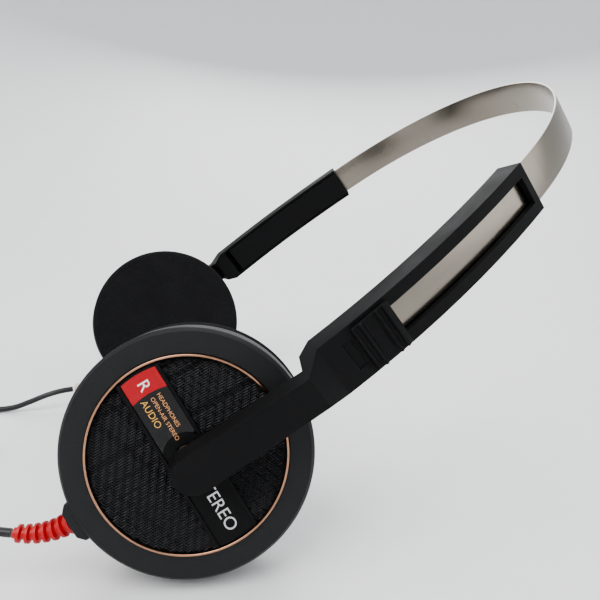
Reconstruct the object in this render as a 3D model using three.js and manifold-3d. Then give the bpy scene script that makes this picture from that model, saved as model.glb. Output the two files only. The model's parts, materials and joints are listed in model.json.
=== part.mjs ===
// Light open-air headphones: a spring-steel headband, two sliding arms, two round ear cups on ball joints,
// and a cord that joins from both cups and ends in a stereo plug.
// Row frame: millimetres, +Z up, +Y from the right ear to the left ear, the headband leaning towards +X.
// The origin is the middle of the headband's underside, where a head, a hook or a stand holds it.
import * as THREE from 'three';
import { mergeVertices } from 'three/addons/utils/BufferGeometryUtils.js';
import Module from 'manifold-3d';

const wasm = await Module();
wasm.setup();

// ---------------------------------------- driving dimensions (mm and degrees)
const gap = 0.3; // between pieces that would touch

const leanAngle = 35.7; // rise of the arms above the table
const rollAngle = 1.4; // the left side sits this much lower

const crownRadius = 64; // bend of the band over the head
const sideRadius = 152; // bend of the band where the arms slide
const sideDrop = 33.3; // the side bend's centre below the crown's, along the arms
const bandWidth = 10.2;
const bandThickness = 0.5;

const armWall = 0.8; // side wall of the arm's channel
const armWidth = bandWidth + 2 * (armWall + gap);
const armOuterRise = 2.0; // band's middle to the arm's outer face
const armInnerDrop = 4.3; // band's middle to the arm's inner face
const armTopAngle = 19.6; // where the arm ends, round the side bend
const armFootAngle = -3.6; // where the crank meets the curved part
const channelFootAngle = -2.9;
const coverInset = 0.8; // cover's inner end from the channel's foot, in degrees round the bend
const windowStartAngle = -0.6;
const windowEndAngle = 18.9;
const windowWidth = 6.8;
const pocketDepth = 0.5; // small pocket in the outer face, below the knob
const pocketLength = 2.0;

const crankClearance = 2.6; // the cup's side to the crank
const crankLength = 14.5; // the lower arm's top to the level of the side bend's centre
const pivotInset = 12.64; // the band at that level to the ball's centre, inward
const lowerArmInset = 1.84; // the same to the lower arm's outer face, over the ball
const lowerArmRise = 6.9; // how far the lower arm flares out up to the crank
const lowerArmThickness = 4.9;
const lowerArmEndRadius = 4.6;
const lowerArmTopWidth = 7.8;

const knobLength = 8.4;
const knobWidth = 10.8;
const knobRise = 1.7; // ridge tops above the arm's outer face
const knobValley = 0.7; // how far the grooves go down from the ridge tops
const knobAngle = 0.75; // middle of the knob round the side bend, fully closed
const rivetShank = 0.7; // radius
const rivetHead = 1.4; // radius
const rivetSpacing = 4.0;
const detentWidth = 4.6;
const detentThickness = 0.25;

const ballRadius = 2.0;
const seatThickness = 0.6; // nylon seat between the ball and the socket
const studRadius = 1.0;
const labelHoleClearance = 0.7; // wider than the ball, for the cup's tilt

const socketFloor = 0.6;
const driverRadius = 16.9;
const driverDepth = 4.1; // magnet's top to the underside of the driver's cover
const driverClearance = 0.4; // above the magnet and below the cover
const magnetRadius = 8.6;
const coilRadius = 5.75; // the driver's voice coil
const padThickness = 3.7;
const rearDepth = 2.5;
const rearFloor = 1.4;

const cupRadius = 27.6;
const faceChamfer = 0.8;
const faceRingWidth = 5.15; // the face's edge to the middle of the copper-coloured ring
const faceRise = 0.55; // the cup's front face above the mesh
const cupWall = 1.2;
const padOverhang = 0.2;
const trimWidth = 0.6;
const trimRise = 0.5; // above the cup's front face
const meshDrop = 0.35; // the mesh below the ball's top
const meshThickness = 0.3;
const meshSeat = 0.35; // rib that the mesh lies over
const labelBarWidth = 10.1;
const labelBarRise = 0.65; // above the cup's front face
const labelBarRim = 0.7;
const labelPlateDrop = 0.4; // below the bar's rims
const screwInset = 3.4; // the cup's side to the case screws
const screwRadius = 0.6;
const bossLength = 2.0; // how far the cable boss stands out of the cup's side
const bossStep = 1.1; // the boss's face below the cup's face
const bossWidth = 9.2;
const bootLength = 13.2;
const bootBaseRadius = 2.6;
const bootTipRadius = 1.9;
const bootRings = 7;
const bootHeight = -2.2; // ball's centre to the cord's axis

// how each cup stands at rest: turned about its own axis, top tilted out, swivelled about the arm; and the
// bend of its cord boot
const restPose = {
  right: { spin: 6.6, tilt: 4.7, swivel: 15.1, bootBend: 40 },
  left: { spin: 0, tilt: 15.5, swivel: 9, bootBend: 35 },
};

const tableLevel = -110.8; // the cups' lowest edges stand here
const branchDiameter = 2.0; // cord from each cup to the split
const mainDiameter = 2.6; // cord from the split to the plug
const splitStart = -254; // the split's end on the cups' side, along the row's x
const splitLength = 14;
const splitWidth = 7.6;
const splitThickness = 4.4;
const branchSpacing = 4.8; // between the branches where they enter the split
const coilCentre = [-198, 6]; // on the table
const coilInner = 7.0;
const coilOuter = 21.8;
const coilHeight = 5.3;
const clipWidth = 6;
const clipThickness = 0.9;
const plugBootLength = 9;
const plugBodyLength = 13;
const plugBodyRadius = 3.6;
const plugPinLength = 14; // a 3.5 mm stereo plug
const plugPinRadius = 1.75;

// The cords' routes from end to end, each point as x, y and height above the table.
const cordRoutes = {
  right: [
    [-153.7, -53.4, 12.5], [-157.6, -52.5, 13.0], [-163, -51.4, 12.3], [-169.5, -50.8, 10.0],
    [-176.5, -51, 6.5],
    [-183.5, -52, 3.3], [-191, -53.4, 1.4], [-199, -55, 1.07], [-215, -57.5, 1.07], [-236, -58.5, 1.07],
    [-257, -56.5, 1.07], [-274, -49.5, 1.07], [-286, -37, 1.07], [-290, -21.5, 1.07], [-284, -8.5, 1.07],
    [-270, -2.9, 1.2], [-254.3, -2.4, 2.0],
  ],
  left: [
    [-150.7, 42.6, 7.0], [-154.6, 42.1, 6.9], [-160, 41.8, 5.9], [-166, 42.2, 3.8], [-172, 43.2, 1.8],
    [-179, 45, 1.09], [-190, 48.5, 1.07], [-209, 54, 1.07], [-230, 58, 1.07], [-250, 58.5, 1.07],
    [-268, 53.5, 1.07], [-282, 43, 1.07], [-290, 28, 1.07], [-289.5, 13.5, 1.07], [-281, 4.6, 1.07],
    [-270, 2.7, 1.2], [-254.3, 2.4, 2.0],
  ],
  lead: [
    [-239.7, 0, 2.0], [-235, -0.9, 1.5], [-229, -4.4, 1.32], [-222, -9.6, 1.32], [-215.5, -13.2, 1.32],
    [-209.3, -14.4, 1.32],
  ],
  tail: [
    [-212.0, 24.8, 3.7], [-219, 25.7, 2.9], [-227, 26.8, 2.3], [-234, 27.4, 2.7], [-239.5, 27.6, 3.4],
    [-242.0, 27.6, 3.6],
  ],
};

const roundSides = 48; // facets round the large turned pieces
const innerSides = 28; // the driver's pieces
const smallSides = 14;
const tinySides = 8;

// ---------------------------------------- worked-out places
const degrees = Math.PI / 180;
const lowerArmLength = cupRadius + crankClearance;
const sideCentreX = lowerArmLength + crankLength;
const crownCentreX = sideCentreX + sideDrop;
const crownHeight = crownCentreX + crownRadius; // ear pivot to the top of the band, along the arms
const centreSpan = sideRadius - crownRadius;
const sideCentreY = -Math.sqrt(centreSpan ** 2 - sideDrop ** 2);
const sideReach = sideRadius + sideCentreY; // middle plane to the band at its widest
const pivotHeight = sideReach - pivotInset;
const lowerArmStart = sideReach - lowerArmInset;
const tangentAngle = Math.atan2(sideDrop, -sideCentreY) / degrees;
const lowerArmSlope = lowerArmRise / lowerArmLength;
const cupFaceRadius = cupRadius - faceChamfer;
const trimRadius = cupFaceRadius - faceRingWidth;
const padRadius = cupRadius + padOverhang;
const screwCircle = cupRadius - screwInset;
const bossReach = cupRadius + bossLength; // cup's axis to the cable boss's end face

// levels over the ball's centre: the mesh, the cup's front face and the bar across it
const seatRadius = ballRadius + gap + seatThickness;
const meshTop = ballRadius - meshDrop;
const meshHole = seatRadius + 0.1;
const cupFace = meshTop + faceRise;
const labelBarTop = cupFace + labelBarRise;
const labelPlateTop = labelBarTop - labelPlateDrop;
const labelHoleRadius = ballRadius + labelHoleClearance;

// levels under the ball's centre: the socket, the driver, the foam and the cup's two shells
const socketRadius = seatRadius + gap;
const driverTop = -socketRadius - socketFloor - driverClearance;
const padBack = driverTop - driverDepth - driverClearance;
const padFace = padBack - padThickness;
const rearTop = padBack + gap + rearDepth;
const cupWallBottom = rearTop + gap;

// a point of the side bend: radius from its centre, angle in degrees from straight out towards the crown
function onSideBend(radius, angle) {
  const turn = angle * degrees;
  return new THREE.Vector2(sideCentreX + radius * Math.sin(turn), sideCentreY + radius * Math.cos(turn));
}

function lowerArmOuter(x) {
  return lowerArmStart + lowerArmSlope * x;
}

// ---------------------------------------- solids
function solid(geometry) {
  const bare = geometry.clone();
  bare.deleteAttribute('normal');
  bare.deleteAttribute('uv');
  const merged = mergeVertices(bare, 1e-4);
  const index = Array.from(merged.index.array);
  const kept = [];
  for (let i = 0; i < index.length; i += 3) {
    const [a, b, c] = index.slice(i, i + 3);
    if (a !== b && b !== c && a !== c) kept.push(a, b, c);
  }
  const mesh = new wasm.Mesh({
    numProp: 3,
    vertProperties: new Float32Array(merged.attributes.position.array),
    triVerts: new Uint32Array(kept),
  });
  return new wasm.Manifold(mesh);
}

function geometryOf(manifold) {
  const mesh = manifold.getMesh();
  const geometry = new THREE.BufferGeometry();
  geometry.setAttribute('position', new THREE.BufferAttribute(new Float32Array(mesh.vertProperties), 3));
  geometry.setIndex(Array.from(mesh.triVerts));
  return geometry;
}

function cut(base, ...tools) {
  return geometryOf(tools.reduce((rest, tool) => rest.subtract(solid(tool)), solid(base)));
}

function join(...pieces) {
  const solids = pieces.map(solid);
  return geometryOf(solids.reduce((sum, piece) => sum.add(piece)));
}

function common(a, b) {
  return geometryOf(solid(a).intersect(solid(b)));
}

// an outline in x and y, given thickness along z and centred on z = 0
function slab(shape, width) {
  const geometry = new THREE.ExtrudeGeometry(shape, { depth: width, bevelEnabled: false, curveSegments: 24 });
  return geometry.translate(0, 0, -width / 2);
}

// an outline in x and z, given thickness along y from low to high
function plank(shape, low, high) {
  const options = { depth: high - low, bevelEnabled: false, curveSegments: 24 };
  const geometry = new THREE.ExtrudeGeometry(shape, options);
  return geometry.rotateX(Math.PI / 2).translate(0, high, 0);
}

function polygon(points) {
  return new THREE.Shape(points.map(([x, y]) => new THREE.Vector2(x, y)));
}

function rectangle(halfX, halfZ, x = 0) {
  return polygon([[x - halfX, -halfZ], [x + halfX, -halfZ], [x + halfX, halfZ], [x - halfX, halfZ]]);
}

// a closed outline turned about the y axis, taken anticlockwise so that the faces point out
function turned(points, sides = roundSides) {
  const outline = points.map(([r, y]) => new THREE.Vector2(r, y));
  if (THREE.ShapeUtils.area(outline) < 0) outline.reverse();
  return new THREE.LatheGeometry(outline, sides);
}

function ringOutline(points) {
  return [...points, points[0]];
}

function rod(radius, low, high, sides = tinySides) {
  return turned([[0, low], [radius, low], [radius, high], [0, high]], sides);
}

// a round tube along a curve, with flat ends square to it
function tube(curve, radius, steps, sides = 8) {
  const section = new THREE.Shape();
  section.setFromPoints(Array.from({ length: sides }, (_, i) => {
    const angle = (2 * Math.PI * i) / sides;
    return new THREE.Vector2(radius * Math.cos(angle), radius * Math.sin(angle));
  }));
  return new THREE.ExtrudeGeometry(section, { steps, extrudePath: curve });
}

// part of the side bend between two radii and two angles, across the given width
function bendSector(inner, outer, from, to, width) {
  const steps = Math.max(2, Math.ceil((to - from) / 2.5));
  const shape = new THREE.Shape();
  const angles = Array.from({ length: steps + 1 }, (_, i) => from + ((to - from) * i) / steps);
  const outline = [
    ...angles.map((angle) => onSideBend(inner, angle)),
    ...angles.reverse().map((angle) => onSideBend(outer, angle)),
  ];
  shape.setFromPoints(outline);
  return slab(shape, width);
}

function materialOf(color, roughness, metalness = 0) {
  return new THREE.MeshStandardMaterial({ color, roughness, metalness });
}

const finishes = {
  springSteel: materialOf(0xb9b5ab, 0.3, 1),
  blackPlastic: materialOf(0x1a1b1d, 0.55),
  charcoalPlastic: materialOf(0x2b2d30, 0.6),
  copperRing: materialOf(0xc58f74, 0.28, 1),
  wovenMesh: materialOf(0x26282a, 0.5, 0.7),
  glossPlate: materialOf(0x101012, 0.15),
  turnedSteel: materialOf(0x9a9ba0, 0.35, 1),
  brassRivet: materialOf(0xb09a5e, 0.35, 1),
  magnetAlloy: materialOf(0x5a5d63, 0.4, 1),
  clearFilm: materialOf(0xd7cfae, 0.3),
  boardFibre: materialOf(0x8a6a35, 0.7),
  blackFoam: materialOf(0x0d0d0e, 0.95),
  redRubber: materialOf(0xd02a28, 0.5),
  whiteRubber: materialOf(0xe9e6dc, 0.5),
  blackCord: materialOf(0x121213, 0.5),
  nickel: materialOf(0xc9c7c0, 0.2, 1),
};

// ---------------------------------------- headband
// The band's middle line: an arc over the crown, then the flatter arc of each side down to the slider.
function bandLine(offset) {
  const bottomAngle = knobAngle - (knobLength / 2 / sideRadius / degrees) + 0.2;
  const side = [];
  const sideSteps = 9;
  for (let i = 0; i <= sideSteps; i += 1) {
    const angle = bottomAngle + ((tangentAngle - bottomAngle) * i) / sideSteps;
    side.push(onSideBend(sideRadius + offset, angle));
  }
  const crown = [];
  const crownSteps = 16;
  for (let i = 1; i <= crownSteps; i += 1) {
    const angle = (tangentAngle + ((90 - tangentAngle) * i) / crownSteps) * degrees;
    const radius = crownRadius + offset;
    crown.push(new THREE.Vector2(crownCentreX + radius * Math.sin(angle), radius * Math.cos(angle)));
  }
  const half = [...side, ...crown];
  const otherHalf = half.slice(0, -1).map((p) => new THREE.Vector2(p.x, -p.y)).reverse();
  return [...half, ...otherHalf];
}

function headband() {
  const outline = [...bandLine(bandThickness / 2), ...bandLine(-bandThickness / 2).reverse()];
  const strip = slab(new THREE.Shape(outline), bandWidth);
  const holes = [1, -1].flatMap((side) => rivetPlaces().map((x) => {
    const hole = rod(rivetShank + gap, -2, 2).translate(x, 0, 0);
    placeOnBend(hole, knobAngle);
    return side > 0 ? hole : mirrored(hole);
  }));
  return cut(strip, ...holes);
}

// ---------------------------------------- arm and slider, drawn for the left side, y outward
// moves a piece drawn about the band's middle line, x along it and y outward,
// to its place round the side bend
function placeOnBend(geometry, angle) {
  const place = onSideBend(sideRadius, angle);
  return geometry.rotateZ(-angle * degrees).translate(place.x, place.y, 0);
}

function armProfile() {
  const foot = onSideBend(sideRadius - armInnerDrop, armFootAngle - 1.5);
  const shape = new THREE.Shape();
  const outer = sideRadius + armOuterRise;
  const inner = sideRadius - armInnerDrop;
  const steps = 10;
  const turn = (armTopAngle - armFootAngle) / steps;
  const angles = Array.from({ length: steps + 1 }, (_, i) => armFootAngle + turn * i);
  const back = -lowerArmEndRadius - 1;
  shape.setFromPoints([
    new THREE.Vector2(back, lowerArmOuter(back)),
    new THREE.Vector2(lowerArmLength, lowerArmOuter(lowerArmLength)),
    ...angles.map((angle) => onSideBend(outer, angle)),
    ...angles.reverse().map((angle) => onSideBend(inner, angle)),
    foot,
    new THREE.Vector2(lowerArmLength, lowerArmOuter(lowerArmLength) - lowerArmThickness),
    new THREE.Vector2(back, lowerArmOuter(back) - lowerArmThickness),
  ]);
  return slab(shape, armWidth + 2);
}

function armPlan() {
  const shape = new THREE.Shape();
  const crankTop = onSideBend(sideRadius + armOuterRise, armFootAngle).x;
  const far = onSideBend(sideRadius + armOuterRise, armTopAngle).x + 2;
  shape.moveTo(0, -lowerArmEndRadius);
  shape.lineTo(lowerArmLength, -lowerArmTopWidth / 2);
  shape.lineTo(crankTop, -armWidth / 2);
  shape.lineTo(far, -armWidth / 2);
  shape.lineTo(far, armWidth / 2);
  shape.lineTo(crankTop, armWidth / 2);
  shape.lineTo(lowerArmLength, lowerArmTopWidth / 2);
  shape.lineTo(0, lowerArmEndRadius);
  shape.absarc(0, 0, lowerArmEndRadius, Math.PI / 2, 1.5 * Math.PI, false);
  return plank(shape, sideReach - 20, sideReach + 20);
}

function armShell() {
  const channelWidth = armWidth - 2 * armWall;
  const channel = bendSector(
    sideRadius - armInnerDrop - 1,
    sideRadius + bandThickness / 2 + gap,
    channelFootAngle,
    armTopAngle + 1,
    channelWidth,
  );
  const windowTop = sideRadius + armOuterRise + 1;
  const window = bendSector(sideRadius, windowTop, windowStartAngle, windowEndAngle, windowWidth);
  const pocketEnd = windowStartAngle - 0.55;
  const pocketStart = pocketEnd - pocketLength / sideRadius / degrees;
  const face = sideRadius + armOuterRise;
  const pocket = bendSector(face - pocketDepth, face + 1, pocketStart, pocketEnd, windowWidth);
  const studHole = rod(studRadius + 0.4 + gap, 0, 8.9).translate(0, pivotHeight, 0);
  return cut(common(armProfile(), armPlan()), channel, window, pocket, studHole);
}

// the plate that closes the channel from the head side, with a groove for the rivets and the detent spring
function armCover() {
  const width = armWidth - 2 * armWall - 2 * gap;
  const top = sideRadius - bandThickness / 2 - gap;
  const bottom = sideRadius - armInnerDrop;
  const body = bendSector(bottom, top, channelFootAngle + coverInset, armTopAngle, width);
  const grooveFloor = top - 2.2;
  const grooveStart = windowStartAngle - 1.2;
  const groove = bendSector(grooveFloor, top + 1, grooveStart, windowEndAngle, detentWidth + 2 * gap);
  const notchCount = 9;
  const notches = Array.from({ length: notchCount }, (_, i) => {
    const angle = knobAngle + 1.6 + i * ((windowEndAngle - knobAngle - 3.5) / (notchCount - 1));
    const notch = rod(0.5, -2, 2, 8).rotateX(Math.PI / 2);
    return placeOnBend(notch.translate(0, grooveFloor - sideRadius, 0), angle);
  });
  return cut(body, groove, ...notches);
}

function rivetPlaces() {
  return [-rivetSpacing / 2, rivetSpacing / 2];
}

function sliderKnob() {
  const face = armOuterRise;
  const base = face + gap;
  const top = face + knobRise;
  const floor = top - knobValley;
  const half = knobLength / 2;
  const ridge = 0.55;
  const outline = polygon([
    [-half, base],
    [half + 1, base],
    [half + 1, base + 0.5],
    [half, top - 0.2],
    [half - ridge, top],
    [half - 1.0, floor],
    [half - 1.6, floor],
    [half - 1.9, top],
    [half - 2.4, top],
    [half - 3.0, floor - 0.15],
    [2.9 - half, floor - 0.15],
    [2.4 - half, top],
    [1.9 - half, top],
    [1.5 - half, floor],
    [1.0 - half, floor],
    [ridge - half, top - 0.3],
    [-half, top - 0.5],
  ]);
  const cap = slab(outline, knobWidth);
  const neckLow = bandThickness / 2 + gap;
  const neck = new THREE.BoxGeometry(knobLength - 1.6, base + 0.2 - neckLow, windowWidth - 2 * gap);
  neck.translate(0.2, (base + 0.2 + neckLow) / 2, 0);
  const holes = rivetPlaces().map((x) => rod(rivetShank + gap, 0, 2.1).translate(x, 0, 0));
  return placeOnBend(cut(join(cap, neck), ...holes), knobAngle);
}

function sliderRivet(x) {
  const head = -bandThickness / 2 - gap - detentThickness - gap;
  const outline = [
    [0, head - 0.7],
    [rivetHead * 0.7, head - 0.7],
    [rivetHead, head - 0.3],
    [rivetHead, head],
    [rivetShank, head],
    [rivetShank, 1.8],
    [0, 1.8],
  ];
  return placeOnBend(turned(outline, tinySides).translate(x, 0, 0), knobAngle);
}

// a bent leaf under the band whose free end clicks into the cover's notches
function detentSpring() {
  const top = -bandThickness / 2 - gap;
  const half = rivetSpacing / 2 + 1.6;
  const drop = 1.15;
  const t = detentThickness;
  const leaf = slab(polygon([
    [-half, top],
    [half, top],
    [half + 1.4, top - drop],
    [half + 2.4, top - 0.3],
    [half + 2.4, top - 0.3 - t],
    [half + 1.4, top - drop - t],
    [half - 0.1, top - t],
    [-half, top - t],
  ]), detentWidth - 1);
  const holes = rivetPlaces().map((x) => rod(rivetShank + gap, -3, 1).translate(x, 0, 0));
  return placeOnBend(cut(leaf, ...holes), knobAngle);
}

// ---------------------------------------- ball joint, drawn about the ball's centre, y outward
function pivotStud() {
  const collar = 2.3;
  const shank = studRadius + 0.4;
  return turned([
    [0, -0.9],
    [studRadius, -0.9],
    [studRadius, 3.7],
    [collar, 4.0],
    [collar, 4.9],
    [shank, 4.9],
    [shank, 8.5],
    [0, 8.5],
  ], smallSides);
}

function arcPoints(radius, from, to, steps) {
  return Array.from({ length: steps + 1 }, (_, i) => {
    const angle = from + ((to - from) * i) / steps;
    return [radius * Math.cos(angle), radius * Math.sin(angle)];
  });
}

function pivotBall() {
  const bore = studRadius + gap;
  const rim = Math.acos(bore / ballRadius);
  return turned([[0, -1.2], [bore, -1.2], ...arcPoints(ballRadius, rim, -Math.PI / 2, 8).slice(0, -1),
    [0, -ballRadius]], smallSides);
}

// a round shell that turns on the ball and inside the socket
function ballSeat() {
  const inner = ballRadius + gap;
  const outer = seatRadius;
  const low = -60 * degrees;
  const high = 27 * degrees;
  const steps = 5;
  const section = [...arcPoints(inner, low, high, steps), ...arcPoints(outer, high, low, steps)];
  return turned(ringOutline(section), smallSides);
}

// the lower half of the socket, on a bridge that spans the cup behind the mesh
function socketBridge() {
  const mouth = 1.0;
  const outer = socketRadius + 1.1;
  const bottom = -socketRadius - socketFloor;
  const cupped = turned([
    [0, -socketRadius],
    ...arcPoints(socketRadius, -Math.PI / 2, Math.asin(mouth / socketRadius), 8).slice(1),
    [outer, mouth],
    [outer, bottom],
    [0, bottom],
  ], smallSides);
  const reach = screwCircle - 4;
  const bar = plank(rectangle(3, reach), -1.6, -0.4);
  const hollow = rod(outer - 0.5, -3, 2, smallSides);
  return join(cut(bar, hollow), cupped);
}

// ---------------------------------------- ear cup, drawn about the ball's centre, y outward
function screwPlaces() {
  return [-screwCircle, screwCircle];
}

function cupBezel() {
  const ledge = meshTop - meshThickness - gap - meshSeat;
  const seat = trimRadius + trimWidth / 2 + 0.25;
  const shell = turned(ringOutline([
    [seat, cupFace],
    [seat, ledge + meshSeat],
    [seat - 1.9, ledge + meshSeat],
    [seat - 1.9, ledge],
    [cupRadius - cupWall, ledge],
    [cupRadius - cupWall, cupWallBottom],
    [cupRadius, cupWallBottom],
    [cupRadius, cupFace - faceChamfer - 0.1],
    [cupFaceRadius, cupFace],
  ]));
  const half = bossWidth / 2;
  const bossPlan = polygon([
    [-cupRadius + 0.6, -half],
    [1.4 - bossReach, -half],
    [-bossReach, 1.6 - half],
    [-bossReach, half - 1.6],
    [1.4 - bossReach, half],
    [-cupRadius + 0.6, half],
  ]);
  const boss = plank(bossPlan, cupWallBottom, cupFace - bossStep);
  const cordHole = rod(1.3, -4, 8, tinySides).rotateZ(Math.PI / 2).translate(-bossReach + 7, bootHeight, 0);
  const posts = screwPlaces().map((z) => rod(1.7, cupWallBottom, ledge + 0.2, tinySides).translate(0, 0, z));
  const screwHole = screwRadius + gap;
  const holes = screwPlaces().map((z) => rod(screwHole, cupWallBottom - 1, -0.6).translate(0, 0, z));
  return cut(join(shell, boss, ...posts), cordHole, ...holes);
}

function trimRing() {
  const inner = trimRadius - trimWidth / 2;
  const outer = trimRadius + trimWidth / 2;
  return turned(ringOutline([
    [outer, meshTop + gap],
    [outer, cupFace + trimRise * 0.4],
    [trimRadius, cupFace + trimRise],
    [inner, cupFace + trimRise * 0.4],
    [inner, meshTop + gap],
  ]));
}

function meshGrille() {
  return turned(ringOutline([
    [trimRadius, meshTop - meshThickness],
    [trimRadius, meshTop],
    [meshHole, meshTop],
    [meshHole, meshTop - meshThickness],
  ]));
}

function labelBar() {
  const reach = trimRadius - trimWidth / 2 - gap;
  const bottom = meshTop + gap;
  const half = labelBarWidth / 2;
  const plate = plank(rectangle(half, reach + 2), bottom, labelPlateTop);
  const rims = [-1, 1].map((side) => {
    const x = side * (half - labelBarRim / 2);
    return plank(rectangle(labelBarRim / 2, reach + 2, x), bottom, labelBarTop);
  });
  const disc = rod(reach, bottom - 1, labelBarTop + 1, roundSides);
  const hole = rod(labelHoleRadius, 0, labelBarTop + 1, smallSides);
  return cut(common(join(plate, ...rims), disc), hole);
}

function rearShell() {
  const inner = driverRadius + gap;
  const shell = turned(ringOutline([
    [inner, rearTop],
    [inner, rearTop - rearFloor],
    [cupRadius - 1.9, rearTop - rearFloor],
    [cupRadius - 1.2, rearTop - rearDepth],
    [cupRadius - 0.2, rearTop - rearDepth + 0.5],
    [cupRadius - 0.2, rearTop],
  ]));
  const screwHole = screwRadius + gap;
  const holes = screwPlaces().map((z) => rod(screwHole, rearTop - 4, rearTop + 1).translate(0, 0, z));
  return cut(shell, ...holes);
}

function caseScrew(z) {
  const under = rearTop - rearFloor - gap;
  return turned([
    [0, under - 0.6],
    [1.2, under - 0.6],
    [1.2, under],
    [screwRadius, under],
    [screwRadius, -1.2],
    [0, -1.2],
  ], tinySides).translate(0, 0, z);
}

function driverMagnet() {
  const slot = 0.55;
  const bottom = driverTop - 2.2;
  return turned([
    [0, bottom],
    [coilRadius - slot, bottom],
    [coilRadius - slot, bottom + 1.2],
    [coilRadius + slot, bottom + 1.2],
    [coilRadius + slot, bottom],
    [magnetRadius, bottom],
    [magnetRadius, driverTop],
    [0, driverTop],
  ], innerSides);
}

function driverFrame() {
  const hub = magnetRadius + gap;
  return turned(ringOutline([
    [hub, driverTop - 0.2],
    [hub, driverTop - 1.1],
    [hub + 2.7, driverTop - 1.1],
    [driverRadius - 1, driverTop - 2.7],
    [driverRadius - 1, driverTop - 3.4],
    [driverRadius, driverTop - 3.4],
    [driverRadius, driverTop - 2.2],
    [hub + 3.1, driverTop - 0.2],
  ]), innerSides);
}

function diaphragm() {
  const film = 0.25;
  const edge = driverRadius - 1 - gap;
  const level = driverTop - 3.0;
  const half = 0.25;
  return turned([
    [0, level + 0.35 - film],
    [coilRadius - half, level - 0.1 - film],
    [coilRadius + half, level - 0.1 - film],
    [coilRadius + 3.5, level + 0.2 - film],
    [edge, level - 0.1 - film],
    [edge, level - 0.1],
    [coilRadius + 3.5, level + 0.2],
    [coilRadius + half, level],
    [coilRadius + half, driverTop - 1.4],
    [coilRadius - half, driverTop - 1.4],
    [coilRadius - half, level],
    [0, level + 0.35],
  ], innerSides);
}

function driverCover() {
  const bottom = driverTop - driverDepth;
  const top = bottom + 0.4;
  const disc = rod(driverRadius - 0.1, bottom, top, innerSides);
  const ring = Array.from({ length: 6 }, (_, i) => {
    const angle = (i * Math.PI) / 3;
    return rod(1.7, top - 2, top + 1).translate(8 * Math.cos(angle), 0, 8 * Math.sin(angle));
  });
  return cut(disc, rod(1.7, top - 2, top + 1), ...ring);
}

function earPad() {
  return turned([
    [0, padFace],
    [padRadius - 1.6, padFace],
    [padRadius - 0.4, padFace + 0.8],
    [padRadius, padFace + 1.9],
    [padRadius - 0.3, padBack - 0.8],
    [padRadius - 1.0, padBack],
    [0, padBack],
  ], 40);
}

function terminalBoard() {
  return new THREE.BoxGeometry(6, 0.8, 7).translate(-17, -2.4, 0);
}

// The ribbed sleeve that keeps the cord from kinking at the boss. Its middle line is an arc that leaves the
// boss squarely and turns towards +z by the given angle.
function bootLine(bend) {
  const start = bossReach + gap;
  const points = Array.from({ length: bootRings * 2 + 1 }, (_, i) => {
    const along = (bootLength * i) / (bootRings * 2);
    const turn = (bend * degrees * along) / bootLength;
    const side = (along * turn) / 2;
    return new THREE.Vector3(-start - along * (1 - turn ** 2 / 6), bootHeight, side);
  });
  return new THREE.CatmullRomCurve3(points);
}

function cordBoot(bend) {
  const line = bootLine(bend);
  const pitch = bootLength / bootRings;
  const core = tube(line, bootTipRadius - 0.5, bootRings * 2);
  const rings = Array.from({ length: bootRings }, (_, i) => {
    const radius = bootBaseRadius + ((bootTipRadius - bootBaseRadius) * i) / (bootRings - 1);
    const at = (i + 0.36) / bootRings;
    const ring = rod(radius, -pitch * 0.36, pitch * 0.36, 12);
    const axis = new THREE.Vector3(0, 1, 0);
    const toLine = new THREE.Quaternion().setFromUnitVectors(axis, line.getTangentAt(at));
    return ring.applyQuaternion(toLine).translate(...line.getPointAt(at).toArray());
  });
  return join(core, ...rings);
}

// ---------------------------------------- cords and plug, drawn on the table, z = 0 its top
function cordAlong(route, diameter) {
  const line = new THREE.CatmullRomCurve3(route.map((point) => new THREE.Vector3(...point)));
  return tube(line, diameter / 2, Math.ceil(line.getLength() / (3 * diameter)));
}

// where the two branches join the main cord: a flat moulded piece with tapered ends
function cordSplit() {
  const half = splitWidth / 2;
  const narrow = mainDiameter / 2 + 0.9;
  const end = splitStart + splitLength;
  const plan = polygon([
    [splitStart, -half], [end - 5, -half], [end, -narrow], [end, narrow], [end - 5, half], [splitStart, half],
  ]);
  const body = new THREE.ExtrudeGeometry(plan, {
    depth: splitThickness - 1.2,
    bevelThickness: 0.6,
    bevelSize: 0.6,
    bevelOffset: -0.6,
    bevelSegments: 1,
  });
  return body.translate(0, 0, 0.6);
}

// the outer shape of the coiled part of the main cord
function cordCoil() {
  const outline = ringOutline([
    [coilInner, 1],
    [coilInner + 1, 0],
    [coilOuter - 1, 0],
    [coilOuter, 1],
    [coilOuter, coilHeight / 2],
    [coilOuter - 2.4, coilHeight],
    [coilInner + 1, coilHeight],
    [coilInner, coilHeight - 1],
  ]);
  return turned(outline).rotateX(Math.PI / 2).translate(...coilCentre, 0);
}

// snaps over the coil from above and is open underneath
function coilClip() {
  const inside = Math.sqrt(coilInner ** 2 - (clipWidth / 2) ** 2) - gap;
  const outside = coilOuter + gap;
  const top = coilHeight + gap;
  const foot = 0.6;
  const arch = polygon([
    [inside - clipThickness, foot],
    [inside, foot],
    [inside, top],
    [outside, top],
    [outside, foot],
    [outside + clipThickness, foot],
    [outside + clipThickness, top + clipThickness - 0.4],
    [outside + clipThickness - 0.4, top + clipThickness],
    [inside - clipThickness + 0.4, top + clipThickness],
    [inside - clipThickness, top + clipThickness - 0.4],
  ]);
  return slab(arch, clipWidth).rotateX(Math.PI / 2).translate(...coilCentre, 0);
}

// a piece turned about the plug's axis, from an outline of radius against distance behind the tail's end
function onPlug(outline, sides = smallSides) {
  const [x, y, z] = cordRoutes.tail.at(-1);
  return turned(outline, sides).rotateZ(Math.PI / 2).translate(x, y, z);
}

function plugBoot() {
  const bore = mainDiameter / 2;
  const end = gap + plugBootLength;
  return onPlug([[0, gap], [bore + 0.5, gap], [bore + 0.7, gap + 4], [bore + 1.1, end], [0, end]]);
}

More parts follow.
